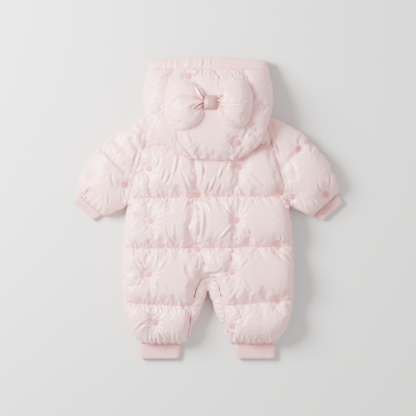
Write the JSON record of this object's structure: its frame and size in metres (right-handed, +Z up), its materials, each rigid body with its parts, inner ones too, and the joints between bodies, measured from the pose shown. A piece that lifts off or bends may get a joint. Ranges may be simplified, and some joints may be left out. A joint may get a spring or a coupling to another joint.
{
  "type": "baby snowsuit",
  "caption": "Padded one-piece baby snowsuit laid flat with its back up: quilted back, sleeves and legs with ribbed cuffs, and a hood with a stuffed bow.",
  "frame": {"origin": "under the middle of the suit's outline, on the surface that it lies on", "axes": "+Y from the ankles to the hood, +Z up out of the surface, so the suit's back faces up"},
  "size_m": [0.544, 0.606, 0.1155],
  "materials": {
    "satin_cloth": "soft satin sheen over padding",
    "rib_knit": "matt rib knit",
    "embroidery": "raised thread with a slight gloss"
  },
  "bodies": {
    "root": {"back": "satin_cloth", "front_placket": "satin_cloth", "hood_center": "satin_cloth", "hood_band": "satin_cloth", "bow_knot": "satin_cloth", "front_left": "satin_cloth", "front_right": "satin_cloth", "inner_leg_left": "satin_cloth", "inner_leg_right": "satin_cloth", "wrist_cuff_left": "rib_knit", "wrist_cuff_right": "rib_knit", "ankle_cuff_left": "rib_knit", "ankle_cuff_right": "rib_knit", "sleeve_left": "satin_cloth", "sleeve_right": "satin_cloth", "hood_side_left": "satin_cloth", "hood_side_right": "satin_cloth", "bow_loop_left": "satin_cloth", "bow_loop_right": "satin_cloth", "rosette_01": "embroidery", "rosette_02": "embroidery", "rosette_03": "embroidery", "rosette_04": "embroidery", "rosette_05": "embroidery", "rosette_06": "embroidery", "rosette_07": "embroidery", "rosette_08": "embroidery", "rosette_09": "embroidery", "rosette_10": "embroidery", "rosette_11": "embroidery", "rosette_12": "embroidery", "rosette_13": "embroidery", "rosette_14": "embroidery", "rosette_15": "embroidery", "rosette_16": "embroidery", "rosette_17": "embroidery", "rosette_18": "embroidery", "rosette_19": "embroidery", "rosette_20": "embroidery", "rosette_21": "embroidery", "rosette_22": "embroidery", "rosette_23": "embroidery", "rosette_24": "embroidery"}
  },
  "joints": []
}
